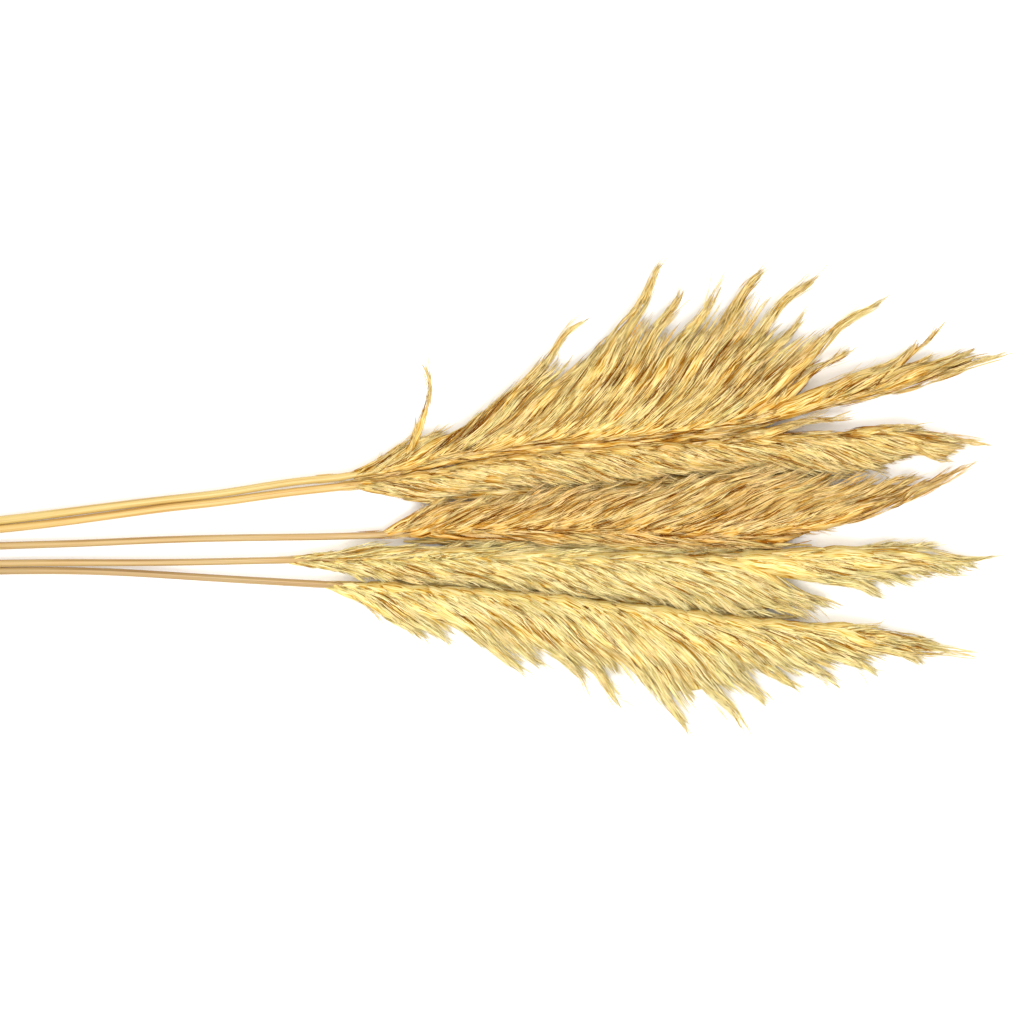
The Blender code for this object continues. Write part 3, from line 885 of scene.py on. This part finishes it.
def add_mat(fibres, draw, mat):
    """The mat as one closed piece: its top, tufted along the hairs, and an underside."""
    end = int(mat["end"] * (MAT_SHARES - 1)) + 1
    top = mat["top"][:, :end].copy()
    middle = mat["middle"][:, :end]
    shares = np.linspace(0, mat["end"], end)
    tufts = soften(draw.normal(0, 1, (end, len(top))), 4).T
    body = np.interp(shares, (0, 0.1, mat["end"] - MAT_CLOSES, mat["end"]), (0.9, 1, 1, 0.1))
    top[..., 2] += tufts * MAT_TUFT * np.interp(shares, (0, 0.15), (0, 1))
    base = middle[..., 2] - MAT_THICK
    top[..., 2] = base + (top[..., 2] - middle[..., 2] + MAT_THICK) * body
    under = middle.copy()
    under[..., 2] -= MAT_THICK + mat["height"][:, :end] * 0.6 * body
    under[..., 2] = np.maximum(under[..., 2], MAT_LOWEST)
    top[..., 2] = np.maximum(top[..., 2], under[..., 2] + 0.05)
    across = np.cumsum(mat["spacing"][:, end // 2])[:, None] + draw.uniform(0, SHEET_ACROSS)
    along = mat["length"][:, None] * shares + draw.uniform(0, SHEET_ALONG)
    spots = on_sheet(*np.broadcast_arrays(across, along))
    if mat["side"] > 0:
        top = top[:, ::-1]
        under = under[:, ::-1]
        spots = spots[:, ::-1]
    ring = np.concatenate((top, under[:, -2:0:-1]), axis=1)
    ring_spots = np.concatenate((spots, spots[:, -2:0:-1] - 0.003), axis=1)
    pole_spots = ring_spots[[0, -1]].mean(axis=1) + 0.004
    fibres.take_tube(ring[[0, -1]].mean(axis=1), ring, pole_spots, ring_spots)


def spots_on(grid, s, t):
    """Values of a grid of (places, shares, ...) at arrays of places and shares from 0 to 1."""
    s = np.clip(s, 0, 1) * (len(grid) - 1)
    t = np.clip(t, 0, 1) * (grid.shape[1] - 1)
    i = np.minimum(s.astype(int), len(grid) - 2)
    j = np.minimum(t.astype(int), grid.shape[1] - 2)
    f = s - i
    g = t - j
    if grid.ndim == 3:
        f = f[..., None]
        g = g[..., None]
    low = grid[i, j] * (1 - f) + grid[i + 1, j] * f
    high = grid[i, j + 1] * (1 - f) + grid[i + 1, j + 1] * f
    return low * (1 - g) + high * g


def clump_lengths(draw, look, count):
    return look["length"] * np.clip(draw.gamma(EVENNESS, 1 / EVENNESS, count), *LENGTHS)


def clump_crimps(draw, look, count):
    """How far clumps wave to either side, over what length, and where in the wave they start."""
    return {
        "crimp": draw.uniform(*look["crimp"], count),
        "crimp_run": draw.uniform(*look["crimp_run"], count),
        "phase": draw.uniform(0, 2 * np.pi, count),
    }


def clump_colours(draw, look, colour, count):
    tone, warmth = colour
    return {
        "tone": tone + look["lighter"] + draw.normal(0, look["clump_uneven"], count),
        "warmth": warmth + look["warmer"] + draw.normal(0, CLUMP_WARMTH, count),
    }


def draw_strands(draw, look, clumps, spread):
    """Parts clumps into strands, and says how far beside and above its clump's line each runs.

    Clumps come as arrays of one value for each clump. Strands go back as columns of one value for
    each strand, or as rows of one value for each of its steps.
    """
    own = np.repeat(np.arange(len(clumps["start"])), look["strands"])
    count = len(own)
    strands = {key: values[own][:, None] for key, values in clumps.items()}
    step = np.linspace(0, 1, look["rings"] + 2)
    dark = draw.uniform(0, 1, count) < look["dark"]
    part = draw.normal(np.where(dark, DARK_PART, LONG_PART), PART_UNEVEN, count)
    part = np.clip(part, *PART_LIMITS)
    t = (draw.uniform(0, 1, count) ** 0.85 * (1 - part))[:, None] + part[:, None] * step
    share = strands["start"] + strands["span"] * t
    wave = (share * strands["length"] / strands["crimp_run"]) * 2 * np.pi + strands["phase"]
    closing = 1 - look["close"] * t**1.3
    beside = draw.uniform(-1, 1, count)[:, None] * strands["half"] * closing
    beside = beside + strands["swing"] * t**2 + strands["crimp"] * np.sin(wave)
    beside = beside + draw.normal(0, look["drift"], (count, 1)) * (step - 0.5)
    above = strands["lay"] + draw.uniform(-spread, spread, count)[:, None] * closing
    above = above + look["lift"] * t**2 + 0.6 * strands["crimp"] * np.cos(wave * 0.9)
    strands.update(dark=dark, step=step, t=t, share=share, beside=beside, above=above)
    return strands


def lay_on_mat(fibres, draw, mat, look, colour, count, furthest):
    """Lays clumps side by side over a mat, their strands crimped together."""
    columns = mat["columns"]
    across = np.linspace(0, 1, len(columns))
    place = np.interp(draw.uniform(0, 1, count), np.cumsum(columns) / columns.sum(), across)
    length = np.interp(place, across, mat["length"])
    span = np.minimum(clump_lengths(draw, look, count) / length, 0.5)
    start = draw.uniform(look["first"], look["last"], count)
    reach = draw.uniform(look["nearest"], look["furthest"], count) * furthest
    start = np.minimum(start, np.maximum(reach - span, 0))
    half = draw.uniform(*look["half"], count)
    swing = draw.normal(0, look["swing"], count)
    crimps = clump_crimps(draw, look, count)
    lay = draw.uniform(*look["lay"], count)
    clumps = {
        "place": place, "length": length, "start": start, "span": span, "half": half,
        "swing": swing, "lay": lay, **crimps, **clump_colours(draw, look, colour, count),
    }
    strands = draw_strands(draw, look, clumps, 0.5)
    share = strands["share"]
    places = np.broadcast_to(strands["place"], share.shape)
    spacing = spots_on(mat["spacing"], places, share) * (len(mat["top"]) - 1)
    sideways = places + strands["beside"] / spacing
    paths = spots_on(mat["top"], sideways, share)
    paths = paths + spots_on(mat["up"], sideways, share) * strands["above"][..., None]
    finish_strands(fibres, draw, look, strands, paths)


def finish_strands(fibres, draw, look, strands, paths):
    """Gives strands on given paths their widths, keeps them off the surface and colours them."""
    dark = strands["dark"]
    step = strands["step"]
    count = len(dark)
    breadth = draw.uniform(*look["width"], count) * np.where(dark, DARK_WIDTH, 1.0)
    widths = breadth[:, None] * np.interp(step, *TAPER)
    paths[..., 2] = np.maximum(paths[..., 2], SURFACE + widths / 2)
    tones = strands["tone"][:, 0] + draw.normal(0, look["uneven"], count)
    # Dark strands are painted shade: thin dark lines as of the shaded gaps between hairs.
    tones = tones - np.where(dark, draw.uniform(*DARKNESS, count), 0.0)
    # Painted shade: strands are darker towards the start of their clump and of their lock, where
    # they lie under other hair.
    tones = tones[:, None] + TIP_LIGHTER * (strands["t"] - 0.5) + 0.04 * (step - 0.5)
    tones = tones + 0.05 * np.clip(strands["share"], 0, 1)
    warmths = strands["warmth"][:, 0] + draw.normal(0, STRAND_WARMTH, count)
    warmths = warmths + np.where(dark, DARK_WARMTH, 0.0)
    add_strands(fibres, paths, widths, tones, warmths, draw.uniform(0, 2 * np.pi, count))


def lay_clumps(fibres, draw, flow, look, colour, count):
    """Lays clumps along one flow, spread round its form, their strands crimped side by side."""
    span = np.minimum(clump_lengths(draw, look, count) / flow["length"], 0.7)
    finish = draw.uniform(look["first"], look["last"], count) + span
    finish = np.minimum(finish, draw.uniform(look["nearest"], look["furthest"], count))
    start = np.maximum(finish - span, look["first"])
    finish = np.maximum(finish, start + 0.05)
    above = np.where(
        draw.uniform(0, 1, count) < 0.5,
        np.arccos(draw.uniform(-1, 1, count)),
        draw.uniform(-0.12 * np.pi, 1.12 * np.pi, count),
    )
    below = draw.uniform(0, 1, count) > look["above"]
    turn = np.where(below, draw.uniform(np.pi, 2 * np.pi, count), above)
    depth = draw.uniform(*look["depth"], count)
    half = draw.uniform(*look["half"], count)
    swing = draw.normal(0, look["swing"], count) + look["lean"] * np.where(below, -1, 1)
    splay_across, splay_up = draw.normal(0, look["splay"], (2, count))
    clumps = {
        "length": np.full(count, flow["length"]), "start": start, "span": finish - start,
        "cos": np.cos(turn), "sin": np.sin(turn), "depth": depth, "half": half, "swing": swing,
        "splay_across": splay_across, "splay_up": splay_up, "lay": np.zeros(count),
        **clump_crimps(draw, look, count), **clump_colours(draw, look, colour, count),
    }
    strands = draw_strands(draw, look, clumps, 0.6)
    share = strands["share"]
    points, side, reach = follow(flow, np.clip(share, 0, 1))
    heading = flow["points"][-1] - flow["points"][-3]
    heading /= np.linalg.norm(heading)
    points = points + (np.maximum(share - 1, 0) * flow["length"])[..., None] * heading

    late = np.clip((share - 0.6) / 0.4, 0, 1.5) ** 2
    tall = flow["tallness"]
    cos = strands["cos"]
    sin = strands["sin"]
    size = np.hypot(sin, tall * cos)
    out_across = tall * cos / size
    out_up = sin / size
    out = strands["depth"] * reach
    across = cos * out - out_up * strands["beside"] + out_across * strands["above"]
    upward = sin * out * tall + out_across * strands["beside"] + out_up * strands["above"]
    across = across + strands["splay_across"] * late
    upward = upward + strands["splay_up"] * late * 0.5
    paths = points + side * across[..., None]
    paths[..., 2] += upward
    finish_strands(fibres, draw, look, strands, paths)


def lesser_lock(plan, lock, after):
    """The flow of a lesser lock halfway between two neighbours, which ends before them."""
    row = [a + (b - a) * 0.5 for a, b in zip(lock, after)]
    row[4] *= LESSER_BREADTH
    return cut_short(lock_flow(plan, row), plan["lesser_end"])


def cut_short(flow, share):
    """The same flow, ended early, with its form drawn together to a new tip."""
    points, _, _ = follow(flow, np.linspace(0, share, FLOW_STEPS))
    _, _, reach = follow(flow, np.linspace(0, 1, FLOW_STEPS))
    return make_flow(points, reach, flow["tallness"])


def parts_of(sizes):
    """Each size as a part of their sum."""
    sizes = np.array(sizes)
    return sizes / sizes.sum()


def build_plume(name, fibre):
    plan = PLUMES[name]
    draw = np.random.default_rng(PLUME_SEED + int(name[-1]))
    stalk = stalk_flow(plan)
    rows = plan["locks"]
    groups = fans(plan)
    matted = [lock for _, group in groups for lock in group]
    free = dict(FREE, lean=plan["lean"])
    locks = [lock_flow(plan, row) for row in rows]
    looks = [OUTER if row in matted else free for row in rows]
    for lock, after in zip(rows, rows[1:]):
        stray = is_stray(plan, lock) or is_stray(plan, after)
        parted = are_parted(plan, lock, after)
        if 0 < after[0] - lock[0] < LESSER_GAP and not stray and not parted:
            locks.append(lesser_lock(plan, lock, after))
            looks.append(OUTER if lock in matted and after in matted else free)
    fibres = Fibres()
    for i, flow in enumerate(locks):
        add_core(fibres, draw, flow, "lock", FINE_RIB if i < len(rows) else COARSE_RIB)
    add_core(fibres, draw, stalk, "stalk", FINE_RIB)
    mats = [make_mat(plan, side, group) for side, group in groups]
    for mat in mats:
        add_mat(fibres, draw, mat)

    colour = (BODY["tone"] + plan["tone"], plan["warmth"])
    clumps = plan["clumps"]
    for mat, part in zip(mats, parts_of([mat["columns"].sum() for mat in mats])):
        for look, count, furthest in (
            (ON_MAT, clumps * part * ON_MAT["share"], "hair_end"),
            (PAINTED_SHADE_CRACKS, plan["cracks"] * part, "mat_end"),
            (FRINGE, FRINGE["count"] * part, "fringe_end"),
        ):
            lay_on_mat(fibres, draw, mat, look, colour, int(round(count)), plan[furthest])

    def lay(flow, look, count=None):
        count = look["count"] if count is None else int(count)
        lay_clumps(fibres, draw, flow, look, colour, count)

    parts = parts_of([flow["length"] * flow["reach"].mean() for flow in locks])
    for flow, look, part in zip(locks, looks, parts):
        lay(flow, look, round(clumps * part * look["share"]))
    lay(stalk, dict(ALONG, lean=plan["lean"]), clumps * ALONG["share"])
    lay(stalk, dict(STALK_PAINTED_SHADE_GAPS, lean=plan["lean"]))
    for flow, look in zip(locks, looks):
        lay(flow, TIPS)
        if look is free:
            lay(flow, dict(PAINTED_SHADE_GAPS, lean=plan["lean"]))
    lay(stalk, STALK_TIP)
    lay(sleeve_flow(name), SLEEVE_FIBRES)
    for points in VALLEYS.get(name, ()):
        flow = valley_flow(points)
        add_core(fibres, draw, flow, "valley", FINE_RIB)
        lay(flow, VALLEY_HAIR)
        lay(flow, VALLEY_PAINTED_SHADE_GAPS)
    for flow, part in zip(locks, parts):
        lay(flow, WISPS, round(WISPS["count"] * part))
    return add_piece(name + "_fibres", fibres.mesh(name + "_fibres"), (fibre,), name)


def build_stem(name, skins, pith):
    """A ribbed stem: a flat sheet of faces rolled round its route, with its ends filled in."""
    route, (thick, thin), straw = STEMS[name]
    draw = np.random.default_rng(STEM_SEED + int(name[-1]))
    start = route[0][0]
    run = route[-1][0] + STEM_ROOT - start
    plan = PLUMES[name.replace("stem", "plume")]
    stalk = plan["stalk"]
    tallness = plan["tallness"]
    steps = int(run / STEM_STEP)
    first_rib, twist, sway_phase, swell_phase = draw.uniform(0, 2 * math.pi, 4)
    shape = bmesh.new()
    layer = shape.loops.layers.uv.new("stem_run")
    bmesh.ops.create_grid(shape, x_segments=steps, y_segments=STEM_SIDES, size=0.5, calc_uvs=True)
    for face in shape.faces:
        for corner in face.loops:
            u, v = corner[layer].uv
            corner[layer].uv = (u * run * MM, v * 2 * math.pi * thick * MM)
    for vertex in shape.verts:
        share = vertex.co.x + 0.5
        around = 2 * math.pi * (vertex.co.y + 0.5)
        x = start + run * share
        line = route if x < route[-1][0] else stalk
        y = smooth_through(line, x)[1]
        ahead = smooth_through(line, min(x + 1.0, line[-1][0]))
        behind = smooth_through(line, max(x - 1.0, line[0][0]))
        angle = math.atan2(ahead[1] - behind[1], ahead[0] - behind[0])
        grown = min((x - start) / (route[-1][0] - start), 1)
        inside = max(x - route[-1][0], 0) / STEM_ROOT
        radius = (thick + (thin - thick) * grown) * (SKIN_SWELL - 0.8 * inside**1.5)
        radius *= 1 + STEM_SWELL * math.sin(9 * share + swell_phase)
        radius *= 1 + STEM_RIB_HEIGHT * math.cos(STEM_RIBS * around + first_rib + twist * share)
        across = math.cos(around) * radius + STEM_SWAY * math.sin(17 * share + sway_phase)
        z = thick + (PLUME_HEIGHT - thick) * grown + math.sin(around) * radius
        if inside:
            _, _, core_z, core_radius = smooth_through(stalk, x)
            core_top = core_radius * (1 + (tallness - 1) * inside)
            z += core_z - PLUME_HEIGHT + (core_top - radius) * inside
            z += STEM_RISE * math.sin(math.pi * inside)
        place = np.array((x - math.sin(angle) * across, y + math.cos(angle) * across, z))
        place[2] = max(place[2], 0)
        vertex.co = (place - MIDDLE) * MM
    bmesh.ops.remove_doubles(shape, verts=shape.verts, dist=0.00001)
    ends = [e for e in shape.edges if e.is_boundary]
    caps = bmesh.ops.holes_fill(shape, edges=ends, sides=0)["faces"]
    rims = bmesh.ops.inset_region(shape, faces=caps, thickness=RIM * MM, depth=0.0)["faces"]
    for face in caps:
        face.material_index = 1
    slope = PITH_SLOPE * MM
    bmesh.ops.inset_region(shape, faces=caps, thickness=slope, depth=-PITH_DEPTH * MM)
    bmesh.ops.recalc_face_normals(shape, faces=shape.faces)
    for face in shape.faces:
        face.smooth = face not in caps and face not in rims
    mesh = bpy.data.meshes.new(name + "_ribbed")
    shape.to_mesh(mesh)
    shape.free()
    mesh.set_sharp_from_angle(angle=math.radians(50))
    return add_piece(name + "_ribbed", mesh, (skins[straw], pith), name)


def pale_floor():
    """A plain pale floor, as a sheet of matt white board."""
    board = {"Base Color": linear("#FAFAFA"), "Roughness": 0.9, "Specular IOR Level": 0.1}
    material, _, _ = new_material("matt_white_board", board)
    shape = bmesh.new()
    bmesh.ops.create_grid(shape, x_segments=1, y_segments=1, size=FLOOR_HALF)
    mesh = bpy.data.meshes.new("floor")
    shape.to_mesh(mesh)
    shape.free()
    mesh.materials.append(material)
    add_object("floor", mesh)


def soft_light(name, place, aim, size, watts):
    light = bpy.data.lights.new(name, "AREA")
    light.shape = "DISK"
    light.size = size
    light.energy = watts
    lamp = add_object(name, light)
    lamp.location = place
    lamp.rotation_euler = (Vector(aim) - Vector(place)).to_track_quat("-Z", "Y").to_euler()


def look_from_above():
    """The photograph's view: straight down, with its middle and its scale."""
    lens = bpy.data.cameras.new("from_above")
    lens.sensor_width = 36.0
    lens.lens = lens.sensor_width * (CAMERA_HEIGHT - FOCUS_HEIGHT) / (PHOTO_PIXELS * PIXEL)
    lens.clip_end = 50.0
    camera = add_object("from_above", lens)
    camera.location = (np.array((*PHOTO_MIDDLE, CAMERA_HEIGHT)) - MIDDLE) * MM
    bpy.context.scene.camera = camera


def set_the_scene():
    world = bpy.data.worlds.new("pale_room")
    bpy.context.scene.world = world
    world.use_nodes = True
    room = world.node_tree.nodes["Background"]
    room.inputs["Color"].default_value = linear("#FFFCF6")
    room.inputs["Strength"].default_value = 0.93
    middle = (0.12, 0.0, 0.0)
    soft_light("key", (0.22, -0.8, 2.2), middle, 0.8, 32.0)
    soft_light("overhead", (0.1, 0.4, 2.6), middle, 1.6, 29.0)
    pale_floor()
    look_from_above()
    bpy.context.scene.view_settings.view_transform = "Standard"


set_the_scene()
stem_skins = {finish: dried_grass_stem(finish, straw) for finish, straw in STRAW.items()}
stem_pith = cut_pith()
for stem_name in STEMS:
    build_stem(stem_name, stem_skins, stem_pith)
for plume_name in PLUMES:
    build_plume(plume_name, dried_plume_fibre(plume_name))
